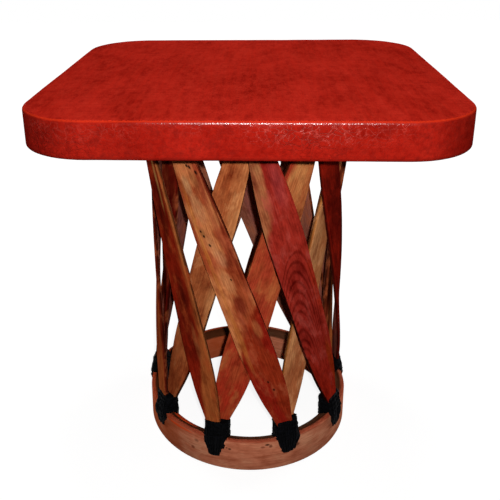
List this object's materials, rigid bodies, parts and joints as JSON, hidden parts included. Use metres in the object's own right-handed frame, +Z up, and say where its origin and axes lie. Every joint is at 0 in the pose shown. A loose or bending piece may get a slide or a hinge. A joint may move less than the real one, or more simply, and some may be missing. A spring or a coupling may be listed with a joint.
{
  "type": "equipale table",
  "caption": "Square side table with a leather-covered top and apron on a round basket base of crossed cedar slats, lashed to two wooden hoops.",
  "frame": {"origin": "on the floor under the middle of the top", "axes": "+Z up, +X to the right and -Y to the front as the picture shows the table"},
  "size_m": [0.7, 0.7, 0.75],
  "materials": {
    "leather_red": "deep red tanned pigskin, mottled, semi-gloss",
    "cedar_tan": "split cedar, tan sapwood, thin satin varnish",
    "cedar_red": "split cedar, red heartwood, thin satin varnish",
    "cedar_brown": "split cedar, brown heartwood, thin satin varnish",
    "hoop_wood": "pinkish brown hardwood, thin satin varnish",
    "pine": "sawn pine, unfinished",
    "lacing": "black rawhide lacing, dull"
  },
  "bodies": {
    "root": {"leather_cover": "leather_red", "top_board_1": "pine", "top_board_2": "pine", "top_board_3": "pine", "top_board_4": "pine", "top_board_5": "pine", "apron_rail_right": "pine", "apron_rail_back": "pine", "apron_rail_left": "pine", "apron_rail_front": "pine", "corner_block_back_right": "pine", "corner_block_back_left": "pine", "corner_block_front_left": "pine", "corner_block_front_right": "pine", "batten_left": "pine", "batten_right": "pine", "lower_hoop": "hoop_wood", "upper_hoop": "hoop_wood", "outer_slat_1": "cedar_brown", "inner_slat_1": "cedar_red", "outer_slat_2": "cedar_tan", "inner_slat_2": "cedar_tan", "outer_slat_3": "cedar_red", "inner_slat_3": "cedar_brown", "outer_slat_4": "cedar_red", "inner_slat_4": "cedar_tan", "outer_slat_5": "cedar_tan", "inner_slat_5": "cedar_red", "outer_slat_6": "cedar_brown", "inner_slat_6": "cedar_tan", "outer_slat_7": "cedar_red", "inner_slat_7": "cedar_brown", "outer_slat_8": "cedar_red", "inner_slat_8": "cedar_red", "outer_slat_9": "cedar_brown", "inner_slat_9": "cedar_tan", "lower_lashing_1": "lacing", "lower_lashing_2": "lacing", "lower_lashing_3": "lacing", "lower_lashing_4": "lacing", "lower_lashing_5": "lacing", "lower_lashing_6": "lacing", "lower_lashing_7": "lacing", "lower_lashing_8": "lacing", "lower_lashing_9": "lacing", "upper_lashing_1": "lacing", "upper_lashing_2": "lacing", "upper_lashing_3": "lacing", "upper_lashing_4": "lacing", "upper_lashing_5": "lacing", "upper_lashing_6": "lacing", "upper_lashing_7": "lacing", "upper_lashing_8": "lacing", "upper_lashing_9": "lacing", "upper_lashing_10": "lacing"}
  },
  "joints": []
}
